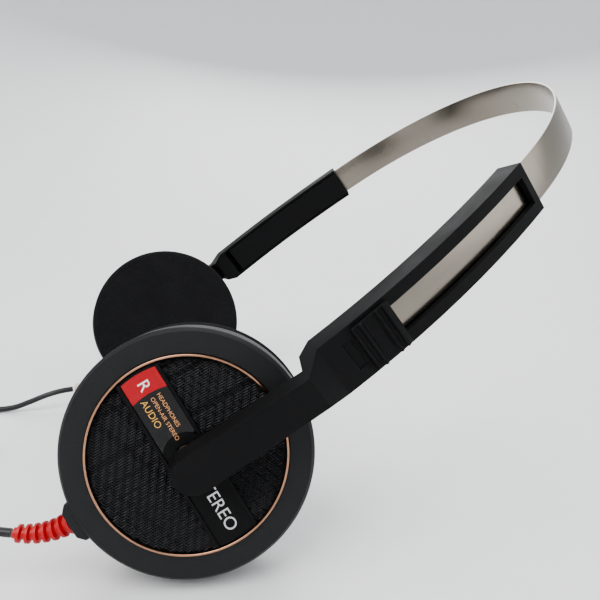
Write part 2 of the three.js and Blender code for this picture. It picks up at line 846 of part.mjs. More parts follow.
function plugBody() {
  const start = 2 * gap + plugBootLength;
  const end = start + plugBodyLength;
  return onPlug([
    [0, start],
    [plugBodyRadius - 1.1, start],
    [plugBodyRadius - 0.2, start + 2.4],
    [plugBodyRadius, start + 4],
    [plugBodyRadius, end - 0.5],
    [plugBodyRadius - 0.5, end],
    [0, end],
  ], 20);
}

// sleeve, ring and tip, with the grooves of the insulators between them
function plugPin() {
  const start = 3 * gap + plugBootLength + plugBodyLength;
  const end = start + plugPinLength;
  const groove = plugPinRadius - 0.12;
  const bands = [end - 4.9, end - 8.2].flatMap((at) => [
    [plugPinRadius, at],
    [groove, at],
    [groove, at - 0.8],
    [plugPinRadius, at - 0.8],
  ]);
  return onPlug([
    [0, end],
    [0.5, end],
    [1.45, end - 1.3],
    [1.1, end - 2.6],
    [plugPinRadius, end - 3.5],
    ...bands,
    [plugPinRadius, start],
    [0, start],
  ]);
}

function buildCords() {
  const cords = new THREE.Group();
  cords.position.z = tableLevel;
  add(cords, '', 'right_cord_branch', cordAlong(cordRoutes.right, branchDiameter), finishes.blackCord);
  add(cords, '', 'left_cord_branch', cordAlong(cordRoutes.left, branchDiameter), finishes.blackCord);
  add(cords, '', 'cord_split', cordSplit(), finishes.blackPlastic);
  add(cords, '', 'cord_lead', cordAlong(cordRoutes.lead, mainDiameter), finishes.blackCord);
  add(cords, '', 'cord_coil', cordCoil(), finishes.blackCord);
  add(cords, '', 'cord_tail', cordAlong(cordRoutes.tail, mainDiameter), finishes.blackCord);
  add(cords, '', 'coil_clip', coilClip(), finishes.blackPlastic);
  add(cords, '', 'plug_boot', plugBoot(), finishes.blackCord);
  add(cords, '', 'plug_body', plugBody(), finishes.blackPlastic);
  add(cords, '', 'plug_pin', plugPin(), finishes.nickel);
  return cords;
}

// ---------------------------------------- assembly
function mirrored(geometry) {
  const flipped = geometry.index ? geometry.toNonIndexed() : geometry.clone();
  const position = flipped.attributes.position;
  for (let i = 0; i < position.count; i += 3) {
    const corners = [0, 2, 1].map((k) => new THREE.Vector3().fromBufferAttribute(position, i + k));
    corners.forEach((corner, k) => position.setXYZ(i + k, corner.x, -corner.y, corner.z));
  }
  return flipped;
}

function add(group, side, name, geometry, finish) {
  const body = side === 'right' ? mirrored(geometry) : geometry;
  const mesh = new THREE.Mesh(body, finish);
  mesh.name = side ? `${side}_${name}` : name;
  group.add(mesh);
}

function buildArm(group, side) {
  add(group, side, 'arm_shell', armShell(), finishes.blackPlastic);
  add(group, side, 'arm_cover', armCover(), finishes.blackPlastic);
  add(group, side, 'slider_knob', sliderKnob(), finishes.blackPlastic);
  rivetPlaces().forEach((x, i) => {
    add(group, side, `slider_rivet_${i + 1}`, sliderRivet(x), finishes.brassRivet);
  });
  add(group, side, 'detent_spring', detentSpring(), finishes.springSteel);
}

function buildCup(group, side) {
  const bootFinish = side === 'right' ? finishes.redRubber : finishes.whiteRubber;
  add(group, side, 'socket_bridge', socketBridge(), finishes.blackPlastic);
  add(group, side, 'cup_bezel', cupBezel(), finishes.charcoalPlastic);
  add(group, side, 'trim_ring', trimRing(), finishes.copperRing);
  add(group, side, 'mesh_grille', meshGrille(), finishes.wovenMesh);
  add(group, side, 'label_bar', labelBar(), finishes.glossPlate);
  add(group, side, 'rear_shell', rearShell(), finishes.blackPlastic);
  screwPlaces().forEach((z, i) => {
    add(group, side, `case_screw_${i + 1}`, caseScrew(z), finishes.turnedSteel);
  });
  add(group, side, 'driver_magnet', driverMagnet(), finishes.magnetAlloy);
  add(group, side, 'driver_frame', driverFrame(), finishes.blackPlastic);
  add(group, side, 'diaphragm', diaphragm(), finishes.clearFilm);
  add(group, side, 'driver_cover', driverCover(), finishes.blackPlastic);
  add(group, side, 'ear_pad', earPad(), finishes.blackFoam);
  add(group, side, 'terminal_board', terminalBoard(), finishes.boardFibre);
  add(group, side, 'cord_boot', cordBoot(restPose[side].bootBend), bootFinish);
}

// The joint's three turns: the ball's stud spins in the arm, the seat tilts on the ball, and the cup swivels
// on the seat.
function buildSide(assembly, side) {
  const sign = side === 'right' ? -1 : 1;
  const arm = new THREE.Group();
  buildArm(arm, side);
  assembly.add(arm);
  const pose = restPose[side];
  const spin = new THREE.Group();
  spin.position.set(0, sign * pivotHeight, 0);
  spin.rotation.y = pose.spin * degrees;
  add(spin, side, 'pivot_stud', pivotStud(), finishes.turnedSteel);
  add(spin, side, 'pivot_ball', pivotBall(), finishes.turnedSteel);
  const tilt = new THREE.Group();
  tilt.rotation.z = sign * pose.tilt * degrees;
  add(tilt, side, 'ball_seat', ballSeat(), finishes.whiteRubber);
  const swivel = new THREE.Group();
  swivel.rotation.x = -pose.swivel * degrees;
  buildCup(swivel, side);
  tilt.add(swivel);
  spin.add(tilt);
  assembly.add(spin);
}

function headphones() {
  const lean = new THREE.Group();
  lean.rotation.y = -leanAngle * degrees;
  add(lean, '', 'headband', headband(), finishes.springSteel);
  buildSide(lean, 'right');
  buildSide(lean, 'left');
  const hold = new THREE.Vector3(crownHeight - bandThickness / 2, 0, 0);
  const shifted = new THREE.Group();
  shifted.rotation.x = -rollAngle * degrees;
  hold.applyEuler(lean.rotation).applyEuler(shifted.rotation);
  shifted.position.copy(hold.negate());
  shifted.add(lean);
  return shifted;
}

const row = new THREE.Group();
row.add(headphones());
row.add(buildCords());

export default row;
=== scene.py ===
"""Light on-ear headphones on a plain studio floor.

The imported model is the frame. Each sub-assembly is a class that holds its sizes in millimetres as dataclass
fields, builds its meshes with bmesh operators in its own axes and places them with the frame's joints.
"""

import json
import logging
import math
from dataclasses import dataclass, field
from enum import Enum
from typing import Callable, Iterable, Sequence

import bmesh
import bpy
from mathutils import Matrix, Vector

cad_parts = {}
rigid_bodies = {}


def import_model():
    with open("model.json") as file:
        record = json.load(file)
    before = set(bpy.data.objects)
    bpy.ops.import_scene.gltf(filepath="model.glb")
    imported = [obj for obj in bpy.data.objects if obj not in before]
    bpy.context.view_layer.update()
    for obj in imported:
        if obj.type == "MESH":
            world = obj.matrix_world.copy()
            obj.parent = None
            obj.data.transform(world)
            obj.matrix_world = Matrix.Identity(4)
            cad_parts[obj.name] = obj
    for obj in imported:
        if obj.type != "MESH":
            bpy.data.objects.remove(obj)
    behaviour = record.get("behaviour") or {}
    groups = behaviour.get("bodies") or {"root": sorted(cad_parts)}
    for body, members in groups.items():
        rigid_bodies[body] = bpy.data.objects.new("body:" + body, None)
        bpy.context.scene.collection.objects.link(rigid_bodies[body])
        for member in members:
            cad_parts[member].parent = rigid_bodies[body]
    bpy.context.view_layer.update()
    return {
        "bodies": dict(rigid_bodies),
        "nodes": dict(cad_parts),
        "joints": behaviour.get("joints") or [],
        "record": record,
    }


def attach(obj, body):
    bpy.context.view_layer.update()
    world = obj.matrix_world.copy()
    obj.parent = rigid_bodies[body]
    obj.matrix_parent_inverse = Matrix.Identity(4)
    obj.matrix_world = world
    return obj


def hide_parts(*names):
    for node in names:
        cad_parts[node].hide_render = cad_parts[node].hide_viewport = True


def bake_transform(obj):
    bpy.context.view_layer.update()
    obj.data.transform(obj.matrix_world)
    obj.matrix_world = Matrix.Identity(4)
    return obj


MM = 0.001
TABLE_LEVEL = -110.8  # mm, where the cups and the cord stand
LOG = logging.getLogger("headphones")
Point = tuple[float, float]
Place = tuple[float, float, float]


class Side(Enum):
    """The ear that a sub-assembly belongs to; the value is its sign along the ear-to-ear axis."""

    RIGHT = -1
    LEFT = 1

    @property
    def label(self) -> str:
        """The name that starts this side's pieces."""
        return self.name.lower()


class Grain(Enum):
    """How a finish's fine relief runs: the turn of its axes in degrees and its stretch along them."""

    EVEN = ((0.0, 0.0, 0.0), (1.0, 1.0, 1.0))
    ALONG_BAND = ((-1.4, -35.7, 0.0), (70.0, 70.0, 1.0))


# ------------------------------------------------------------------------------------------------ finishes
@dataclass(frozen=True)
class Finish:
    """One surface finish, built as a material with its own grain, tone and gloss variation.

    Attributes:
        slot: the record's material slot.
        base: main colour, linear.
        tone: second colour that the blotches lean to.
        roughness: lowest and highest roughness over the surface.
        metallic: 0 or 1, or between for coated wire.
        grain_size: size of the fine relief in millimetres.
        relief: depth of the fine relief in millimetres.
        grain: how the relief runs.
        coat: clear coat weight.
        specular: specular level.
        open_cells: whether the relief is foam cells in place of grain.
    """

    slot: str
    base: Place
    tone: Place
    roughness: Point = (0.4, 0.55)
    metallic: float = 0.0
    grain_size: float = 0.12
    relief: float = 0.004
    grain: Grain = Grain.EVEN
    coat: float = 0.0
    specular: float = 0.5
    open_cells: bool = False


class NodeGroups:
    """The effects that several finishes share, each built once as a shader node group."""

    def __init__(self) -> None:
        """Builds the groups."""
        self.grain = self._grain()
        self.smudges = self._smudges()
        self.cells = self._cells()

    def _new(self, name: str, inputs: dict[str, float], outputs: Iterable[str]) -> bpy.types.ShaderNodeTree:
        """Starts a group.

        Args:
            name: the group's name.
            inputs: value inputs with their defaults.
            outputs: value outputs.

        Returns:
            The group, with a vector input first.
        """
        tree = bpy.data.node_groups.new(name, "ShaderNodeTree")
        tree.interface.new_socket("Vector", in_out="INPUT", socket_type="NodeSocketVector")
        for key, value in inputs.items():
            socket = tree.interface.new_socket(key, in_out="INPUT", socket_type="NodeSocketFloat")
            socket.default_value = value
        for key in outputs:
            tree.interface.new_socket(key, in_out="OUTPUT", socket_type="NodeSocketFloat")
        return tree

    def _grain(self) -> bpy.types.ShaderNodeTree:
        """Fine relief of moulded or brushed surfaces: a height and a mask.

        Returns:
            The group.
        """
        tree = self._new("surface_grain", {"Scale": 4000.0}, ("Height", "Mask"))
        source, sink = tree.nodes.new("NodeGroupInput"), tree.nodes.new("NodeGroupOutput")
        noise = tree.nodes.new("ShaderNodeTexNoise")
        noise.inputs["Detail"].default_value = 3.0
        coarse = tree.nodes.new("ShaderNodeTexNoise")
        coarse.inputs["Detail"].default_value = 2.0
        third = tree.nodes.new("ShaderNodeMath")
        third.operation = "MULTIPLY"
        third.inputs[1].default_value = 0.23
        tree.links.new(source.outputs["Scale"], third.inputs[0])
        tree.links.new(source.outputs["Vector"], noise.inputs["Vector"])
        tree.links.new(source.outputs["Scale"], noise.inputs["Scale"])
        tree.links.new(source.outputs["Vector"], coarse.inputs["Vector"])
        tree.links.new(third.outputs[0], coarse.inputs["Scale"])
        blend = tree.nodes.new("ShaderNodeMath")
        blend.operation = "MULTIPLY_ADD"
        blend.inputs[1].default_value = 0.35
        tree.links.new(coarse.outputs["Fac"], blend.inputs[0])
        tree.links.new(noise.outputs["Fac"], blend.inputs[2])
        tree.links.new(blend.outputs[0], sink.inputs["Height"])
        tree.links.new(coarse.outputs["Fac"], sink.inputs["Mask"])
        return tree

    def _smudges(self) -> bpy.types.ShaderNodeTree:
        """Handling marks: soft blotches with a few sharper streaks, from 0 to 1.

        Returns:
            The group.
        """
        tree = self._new("handling_smudges", {"Size": 90.0}, ("Mask",))
        source, sink = tree.nodes.new("NodeGroupInput"), tree.nodes.new("NodeGroupOutput")
        blotch = tree.nodes.new("ShaderNodeTexNoise")
        blotch.inputs["Detail"].default_value = 4.0
        blotch.inputs["Distortion"].default_value = 0.6
        spread = tree.nodes.new("ShaderNodeMapRange")
        spread.inputs["From Min"].default_value = 0.36
        spread.inputs["From Max"].default_value = 0.68
        tree.links.new(source.outputs["Vector"], blotch.inputs["Vector"])
        tree.links.new(source.outputs["Size"], blotch.inputs["Scale"])
        tree.links.new(blotch.outputs["Fac"], spread.inputs["Value"])
        tree.links.new(spread.outputs["Result"], sink.inputs["Mask"])
        return tree

    def _cells(self) -> bpy.types.ShaderNodeTree:
        """Open foam cells: pits with thin raised struts.

        Returns:
            The group.
        """
        tree = self._new("foam_cells", {"Scale": 1500.0}, ("Height", "Mask"))
        source, sink = tree.nodes.new("NodeGroupInput"), tree.nodes.new("NodeGroupOutput")
        cells = tree.nodes.new("ShaderNodeTexVoronoi")
        cells.feature = "F1"
        noise = tree.nodes.new("ShaderNodeTexNoise")
        noise.inputs["Detail"].default_value = 4.0
        total = tree.nodes.new("ShaderNodeMath")
        total.operation = "ADD"
        for node in (cells, noise):
            tree.links.new(source.outputs["Vector"], node.inputs["Vector"])
            tree.links.new(source.outputs["Scale"], node.inputs["Scale"])
        tree.links.new(cells.outputs["Distance"], total.inputs[0])
        tree.links.new(noise.outputs["Fac"], total.inputs[1])
        tree.links.new(total.outputs[0], sink.inputs["Height"])
        tree.links.new(cells.outputs["Distance"], sink.inputs["Mask"])
        return tree


class Palette:
    """Builds each finish's material once and hands it out by slot."""

    FINISHES = (
        Finish("band_steel", (0.27, 0.245, 0.21), (0.235, 0.213, 0.182), (0.23, 0.28), 1.0, 0.09, 0.0003,
               Grain.ALONG_BAND),
        Finish("black_plastic", (0.006, 0.006, 0.0065), (0.010, 0.010, 0.0105), (0.5, 0.62), relief=0.006,
               specular=0.12),
        Finish("charcoal_plastic", (0.012, 0.013, 0.0135), (0.018, 0.019, 0.0195), (0.46, 0.58), relief=0.006,
               specular=0.24),
        Finish("copper_trim", (0.38, 0.195, 0.125), (0.44, 0.27, 0.18), (0.14, 0.24), 1.0, 0.2, 0.0006),
        Finish("woven_mesh", (0.010, 0.010, 0.011), (0.022, 0.022, 0.024), (0.36, 0.5), 0.35, 0.1, 0.002,
               specular=0.3),
        Finish("label_gloss", (0.003, 0.003, 0.0035), (0.005, 0.005, 0.0055), (0.08, 0.2), relief=0.0004,
               grain_size=0.6, coat=0.2, specular=0.3),
        # turned_steel: base and tone are darkened far below bare steel as painted shade for the stud and hub that sit
        # under the arm
        Finish("turned_steel", (0.16, 0.155, 0.15), (0.10, 0.10, 0.10), (0.3, 0.42), 1.0, 0.08, 0.001),
        Finish("spring_steel", (0.55, 0.53, 0.5), (0.42, 0.4, 0.38), (0.2, 0.35), 1.0, 0.08, 0.001),
        Finish("brass", (0.62, 0.47, 0.18), (0.45, 0.32, 0.12), (0.25, 0.4), 1.0, 0.1, 0.001),
        Finish("nylon", (0.22, 0.21, 0.18), (0.16, 0.15, 0.13), (0.4, 0.55)),
        Finish("magnet_alloy", (0.14, 0.14, 0.15), (0.09, 0.09, 0.1), (0.35, 0.5), 0.8),
        Finish("clear_film", (0.5, 0.42, 0.22), (0.4, 0.33, 0.16), (0.15, 0.3), relief=0.002, coat=0.3),
        Finish("board_fibre", (0.26, 0.15, 0.05), (0.19, 0.1, 0.03), (0.5, 0.7)),
        Finish("black_foam", (0.0045, 0.0045, 0.005), (0.015, 0.015, 0.016), (0.85, 0.98), grain_size=0.45,
               relief=0.12, specular=0.2, open_cells=True),
        Finish("red_rubber", (0.50, 0.010, 0.010), (0.38, 0.006, 0.006), (0.35, 0.5), relief=0.004),
        Finish("ivory_rubber", (0.66, 0.62, 0.52), (0.56, 0.52, 0.42), (0.35, 0.5), relief=0.004),
        Finish("cord_jacket", (0.008, 0.008, 0.009), (0.016, 0.016, 0.017), (0.3, 0.42), relief=0.004),
        Finish("cord_moulding", (0.009, 0.009, 0.010), (0.018, 0.018, 0.019), (0.4, 0.55)),
        Finish("plug_plastic", (0.008, 0.008, 0.009), (0.014, 0.014, 0.015), (0.2, 0.35), coat=0.2),
        Finish("plug_metal", (0.72, 0.68, 0.6), (0.62, 0.57, 0.48), (0.1, 0.2), 1.0, 0.2, 0.0004),
        Finish("label_red", (0.42, 0.006, 0.010), (0.36, 0.004, 0.008), (0.1, 0.2), relief=0.0004, coat=0.3,
               specular=0.3),
        Finish("print_white", (0.8, 0.8, 0.78), (0.7, 0.7, 0.68), (0.3, 0.4), relief=0.001),
        Finish("print_copper", (0.75, 0.38, 0.18), (0.65, 0.3, 0.13), (0.25, 0.35), 0.6, relief=0.001),
        Finish("print_gold", (0.78, 0.46, 0.12), (0.68, 0.38, 0.09), (0.25, 0.35), 0.6, relief=0.001),
        Finish("print_silver", (0.62, 0.62, 0.62), (0.52, 0.52, 0.52), (0.25, 0.35), 0.8, relief=0.001),
        Finish("studio_floor", (0.80, 0.80, 0.80), (0.78, 0.78, 0.78), (0.5, 0.65), grain_size=3.0,
               relief=0.02),
    )

    def __init__(self) -> None:
        """Prepares the shared groups and no material yet."""
        self.groups = NodeGroups()
        self.finishes = {finish.slot: finish for finish in self.FINISHES}
        self.built: dict[str, bpy.types.Material] = {}

    def __getitem__(self, slot: str) -> bpy.types.Material:
        """The slot's material, built at its first use."""
        if slot not in self.built:
            self.built[slot] = self._build(self.finishes[slot])
        return self.built[slot]

    def _build(self, finish: Finish) -> bpy.types.Material:
        """Makes one finish's material.

        Args:
            finish: the finish to build.

        Returns:
            The material.
        """
        material = bpy.data.materials.new(finish.slot)
        material.use_nodes = True
        nodes, links = material.node_tree.nodes, material.node_tree.links
        shader = nodes["Principled BSDF"]
        shader.inputs["Metallic"].default_value = finish.metallic
        shader.inputs["Coat Weight"].default_value = finish.coat
        shader.inputs["Coat Roughness"].default_value = 0.05
        shader.inputs["Specular IOR Level"].default_value = finish.specular
        where = nodes.new("ShaderNodeTexCoord")
        stretch = nodes.new("ShaderNodeMapping")
        turn, drawn_out = finish.grain.value
        stretch.vector_type = "TEXTURE"
        stretch.inputs["Rotation"].default_value = tuple(math.radians(angle) for angle in turn)
        stretch.inputs["Scale"].default_value = drawn_out
        links.new(where.outputs["Object"], stretch.inputs["Vector"])
        relief = nodes.new("ShaderNodeGroup")
        relief.node_tree = self.groups.cells if finish.open_cells else self.groups.grain
        relief.inputs["Scale"].default_value = 1 / (finish.grain_size * MM)
        links.new(stretch.outputs["Vector"], relief.inputs["Vector"])
        marks = nodes.new("ShaderNodeGroup")
        marks.node_tree = self.groups.smudges
        marks.inputs["Size"].default_value = 90.0
        links.new(where.outputs["Object"], marks.inputs["Vector"])
        colour = nodes.new("ShaderNodeMix")
        colour.data_type = "RGBA"
        colour.inputs["A"].default_value = (*finish.base, 1.0)
        colour.inputs["B"].default_value = (*finish.tone, 1.0)
        links.new(relief.outputs["Mask"], colour.inputs["Factor"])
        links.new(colour.outputs["Result"], shader.inputs["Base Color"])
        gloss = nodes.new("ShaderNodeMapRange")
        gloss.inputs["To Min"].default_value, gloss.inputs["To Max"].default_value = finish.roughness
        links.new(marks.outputs["Mask"], gloss.inputs["Value"])
        links.new(gloss.outputs["Result"], shader.inputs["Roughness"])
        bump = nodes.new("ShaderNodeBump")
        bump.inputs["Distance"].default_value = finish.relief * MM
        links.new(relief.outputs["Height"], bump.inputs["Height"])
        links.new(bump.outputs["Normal"], shader.inputs["Normal"])
        return material


# ------------------------------------------------------------------------------------------------ shaping
def circle_point(radius: float, angle: float, centre: Point = (0.0, 0.0)) -> Point:
    """A point of a circle, the angle in degrees."""
    turn = math.radians(angle)
    return centre[0] + radius * math.cos(turn), centre[1] + radius * math.sin(turn)


def rounded(corners: Sequence[tuple[float, float, float]], steps: int = 4) -> list[Point]:
    """A closed outline with its corners rounded.

    Args:
        corners: each corner as x, y and its rounding radius.
        steps: pieces of each rounding.

    Returns:
        The outline's points.
    """
    outline: list[Point] = []
    for i, (x, y, radius) in enumerate(corners):
        corner = Vector((x, y))
        before = (Vector(corners[i - 1][:2]) - corner).normalized()
        after = (Vector(corners[(i + 1) % len(corners)][:2]) - corner).normalized()
        if radius <= 0:
            outline.append((x, y))
            continue
        half = before.angle(after) / 2
        reach = radius / math.tan(half)
        start, end = corner + before * reach, corner + after * reach
        middle = corner + (before + after).normalized() * (radius / math.sin(half))
        for k in range(steps + 1):
            share = k / steps
            point = (start.lerp(end, share) - middle).normalized() * radius + middle
            outline.append((point.x, point.y))
    return outline


class Shop:
    """Makes pieces: meshes shaped by bmesh operators, curves, and refined copies of CAD nodes."""

    def __init__(self, palette: Palette, nodes: dict[str, bpy.types.Object]) -> None:
        """Keeps the palette and the CAD nodes.

        Args:
            palette: the materials.
            nodes: the frame's CAD nodes by name.
        """
        self.palette = palette
        self.nodes = nodes

    def finished(self, obj: bpy.types.Object, slot: str, body: str, replaces: Sequence[str] = ()) -> bpy.types.Object:
        """Gives a piece its material, body and CAD nodes.

        Args:
            obj: the piece.
            slot: its finish.
            body: the body that it rides on.
            replaces: CAD nodes that it stands for.

        Returns:
            The piece.
        """
        obj.data.materials.clear()
        obj.data.materials.append(self.palette[slot])
        if body:
            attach(obj, body)
        if replaces:
            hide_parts(*replaces)
        LOG.info("%s on %s", obj.name, body)
        return obj

    def piece(self, name: str, shape: Callable[[bmesh.types.BMesh], None], place: Matrix,
              smooth: float = 35.0) -> bpy.types.Object:
        """A mesh object from a shaping function.

        Args:
            name: the piece's name.
            shape: fills an empty bmesh, in millimetres in the sub-assembly's axes.
            place: the sub-assembly's axes in the row frame, in metres.
            smooth: edges turned less than this many degrees are smooth.

        Returns:
            The object, at the origin.
        """
        work = bmesh.new()
        shape(work)
        bmesh.ops.remove_doubles(work, verts=work.verts, dist=1e-4)
        bmesh.ops.scale(work, vec=(MM, MM, MM), verts=work.verts)
        bmesh.ops.transform(work, matrix=place, verts=work.verts)
        bmesh.ops.recalc_face_normals(work, faces=work.faces)
        mesh = bpy.data.meshes.new(name)
        work.to_mesh(mesh)
        work.free()
        return self._object(name, mesh, smooth)

    def _object(self, name: str, mesh: bpy.types.Mesh, smooth: float) -> bpy.types.Object:
        """An object with smooth shading up to an angle in degrees."""
        mesh.shade_smooth()
        mesh.set_sharp_from_angle(angle=math.radians(smooth))
        obj = bpy.data.objects.new(name, mesh)
        bpy.context.scene.collection.objects.link(obj)
        return obj

    def refined(self, node: str, bevel: float, name: str | None = None,
                segments: int = 2) -> bpy.types.Object:
        """A copy of a CAD node with its flat faces joined and its edges rounded.

        Args:
            node: the CAD node.
            bevel: the rounding in millimetres.
            name: the piece's name, or the node's own with an ending.
            segments: steps of the rounding.

        Returns:
            The object.
        """
        work = bmesh.new()
        work.from_mesh(self.nodes[node].data)
        bmesh.ops.remove_doubles(work, verts=work.verts, dist=2e-6)
        bmesh.ops.dissolve_limit(work, angle_limit=math.radians(0.4), verts=work.verts, edges=work.edges)
        mesh = bpy.data.meshes.new(name or f"{node}_fine")
        work.to_mesh(mesh)
        work.free()
        obj = self._object(name or f"{node}_fine", mesh, 28.0)
        edge = obj.modifiers.new("rounded_edges", "BEVEL")
        edge.width = bevel * MM
        edge.segments = segments
        edge.limit_method = "ANGLE"
        edge.angle_limit = math.radians(28.0)
        edge.harden_normals = True
        edge.use_clamp_overlap = True
        return obj

    def turned(self, name: str, outline: Sequence[Point], place: Matrix, steps: int = 128,
               closed: bool = True, smooth: float = 35.0) -> bpy.types.Object:
        """A piece turned about its own y axis.

        Args:
            name: the piece's name.
            outline: radius and height of each point.
            place: the piece's axes in the row frame.
            steps: steps round the turn.
            closed: whether the outline is a closed ring's section.
            smooth: edges turned less than this many degrees are smooth.

        Returns:
            The object.
        """
        def shape(work: bmesh.types.BMesh) -> None:
            """Spins the outline."""
            verts = [work.verts.new((radius, height, 0.0)) for radius, height in outline]
            edges = [work.edges.new(pair) for pair in zip(verts, verts[1:])]
            if closed:
                edges.append(work.edges.new((verts[-1], verts[0])))
            bmesh.ops.spin(work, geom=[*verts, *edges], cent=(0, 0, 0), axis=(0, 1, 0), dvec=(0, 0, 0),
                           angle=2 * math.pi, steps=steps, use_merge=True, use_duplicate=False)
        return self.piece(name, shape, place, smooth)

    def prism(self, name: str, outline: Sequence[Point], low: float, high: float, place: Matrix,
              bevel: float = 0.0, segments: int = 3) -> bpy.types.Object:
        """An outline in x and z, given thickness along y, with rounded edges.

        Args:
            name: the piece's name.
            outline: x and z of each point.
            low: lowest y.
            high: highest y.
            place: the piece's axes in the row frame.
            bevel: rounding of every edge.
            segments: steps of the rounding.

        Returns:
            The object.
        """
        def shape(work: bmesh.types.BMesh) -> None:
            """Extrudes the outline and rounds it."""
            face = work.faces.new([work.verts.new((x, low, z)) for x, z in outline])
            grown = bmesh.ops.extrude_face_region(work, geom=[face])["geom"]
            moved = [item for item in grown if isinstance(item, bmesh.types.BMVert)]
            bmesh.ops.translate(work, vec=(0, high - low, 0), verts=moved)
            if bevel:
                bmesh.ops.bevel(work, geom=work.edges[:], offset=bevel, offset_type="OFFSET",
                                affect="EDGES", segments=segments, profile=0.5, material=-1,
                                clamp_overlap=True)
        return self.piece(name, shape, place, 32.0)

    def line(self, name: str, routes: Sequence[Sequence[Vector]], radius: float, sides: int,
             radii: Sequence[float] | None = None, smooth_line: bool = True) -> bpy.types.Object:
        """A round line or several, as one curve object in the row frame, in metres.

        Args:
            name: the piece's name.
            routes: each line's points.
            radius: the line's radius.
            sides: steps of each quarter of its section.
            radii: radius factors at the points of a single line.
            smooth_line: whether it is curved between its points.

        Returns:
            The curve object.
        """
        curve = bpy.data.curves.new(name, "CURVE")
        curve.dimensions = "3D"
        curve.bevel_depth = radius
        curve.bevel_resolution = sides
        curve.resolution_u = 6
        curve.use_fill_caps = True
        for route in routes:
            spline = curve.splines.new("BEZIER" if smooth_line else "POLY")
            points = spline.bezier_points if smooth_line else spline.points
            points.add(len(route) - 1)
            for i, (point, place) in enumerate(zip(points, route)):
                point.co = place if smooth_line else (*place, 1.0)
                point.radius = radii[i] if radii else 1.0
            if smooth_line:
                for point in points:
                    point.handle_left_type = point.handle_right_type = "AUTO"
        obj = bpy.data.objects.new(name, curve)
        bpy.context.scene.collection.objects.link(obj)
        return obj

    def meshed(self, obj: bpy.types.Object, smooth: float = 60.0) -> bpy.types.Object:
        """A mesh piece in place of a curve or text object, which is removed.

        Args:
            obj: the curve or text object.
            smooth: edges turned less than this many degrees are smooth.

        Returns:
            The mesh object, under the same name.
        """
        name = obj.name
        mesh = bpy.data.meshes.new_from_object(obj.evaluated_get(bpy.context.evaluated_depsgraph_get()))
        bpy.data.objects.remove(obj)
        mesh.name = name
        return self._object(name, mesh, smooth)

    def centreline(self, obj: bpy.types.Object) -> list[Vector]:
        """The points that a single smooth line passes through, as it is drawn."""
        bare = obj.data.copy()
        bare.bevel_depth = 0
        probe = bpy.data.objects.new("probe", bare)
        bpy.context.scene.collection.objects.link(probe)
        mesh = probe.evaluated_get(bpy.context.evaluated_depsgraph_get()).to_mesh()
        points = [vertex.co.copy() for vertex in mesh.vertices]
        bpy.data.objects.remove(probe)
        return points

    def lettering(self, name: str, words: str, size: float, place: Matrix, depth: float = 0.03,
                  spacing: float = 1.0) -> bpy.types.Object:
        """Raised print, centred on its place, reading along +z with its tops towards +x, on a +y face.

        Args:
            name: the piece's name.
            words: what it says.
            size: height of the type in millimetres.
            place: the piece's axes in the row frame.
            depth: height of the print above the surface.
            spacing: space between the letters.

        Returns:
            The mesh object.
        """
        text = bpy.data.curves.new(name, "FONT")
        text.body = words
        text.size = size
        text.extrude = depth / 2
        text.space_character = spacing
        text.align_x = "CENTER"
        text.align_y = "CENTER"
        obj = self.meshed(self._linked(bpy.data.objects.new(name, text)), 30.0)
        stand = Matrix(((0, 1, 0, 0), (0, 0, 1, 0), (1, 0, 0, 0), (0, 0, 0, 1)))
        obj.data.transform(place @ Matrix.Scale(MM, 4) @ stand)
        return obj

    def _linked(self, obj: bpy.types.Object) -> bpy.types.Object:
        """Puts an object in the scene."""
        bpy.context.scene.collection.objects.link(obj)
        return obj


# ------------------------------------------------------------------------------------------------ frame axes
def axes_at(origin: Vector, x: Vector, y: Vector) -> Matrix:
    """A place whose x and y axes are given, with z square to both.

    Args:
        origin: its origin in the row frame, in metres.
        x: its x axis.
        y: its y axis.

    Returns:
        The place as a matrix.
    """
    across = x.cross(y).normalized()
    ahead = y.cross(across).normalized()
    turn = Matrix((ahead, y.normalized(), across)).transposed().to_4x4()
    return Matrix.Translation(origin) @ turn


class FrameAxes:
    """The axes of the arms and the cups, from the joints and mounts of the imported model."""

    def __init__(self, frame: dict) -> None:
        """Reads the joints.
        """
        self.joints = {joint["name"]: joint for joint in frame["joints"]}
        self.mounts = {mount["name"]: mount for mount in frame["record"]["mounts"]}
        pivots = [self._pivot(side) for side in Side]
        self.middle = (pivots[0] + pivots[1]) / 2
        self.ear_axis = Vector(self.joints["left_cup_spin"]["axis"])
        across = Vector(self.joints["left_arm_slide"]["axis"])
        self.up_arm = self.ear_axis.cross(across).normalized()
        self.assembly = axes_at(self.middle, self.up_arm, self.ear_axis)

    def _pivot(self, side: Side) -> Vector:
        """The centre of a side's ball joint."""
        return Vector(self.joints[f"{side.label}_cup_spin"]["pos_m"])

    def arm(self, side: Side) -> Matrix:
        """A side's arm: x up the arm, y outward, about the ball's centre."""
        return axes_at(self._pivot(side), self.up_arm, self.ear_axis * side.value)

    def cup(self, side: Side) -> Matrix:
        """A side's cup: x towards the arm, y outward, about the ball's centre."""
        outward = -Vector(self.mounts[f"{side.label}_ear_face"]["axis"])
        return axes_at(self._pivot(side), Vector(self.joints[f"{side.label}_cup_swivel"]["axis"]), outward)


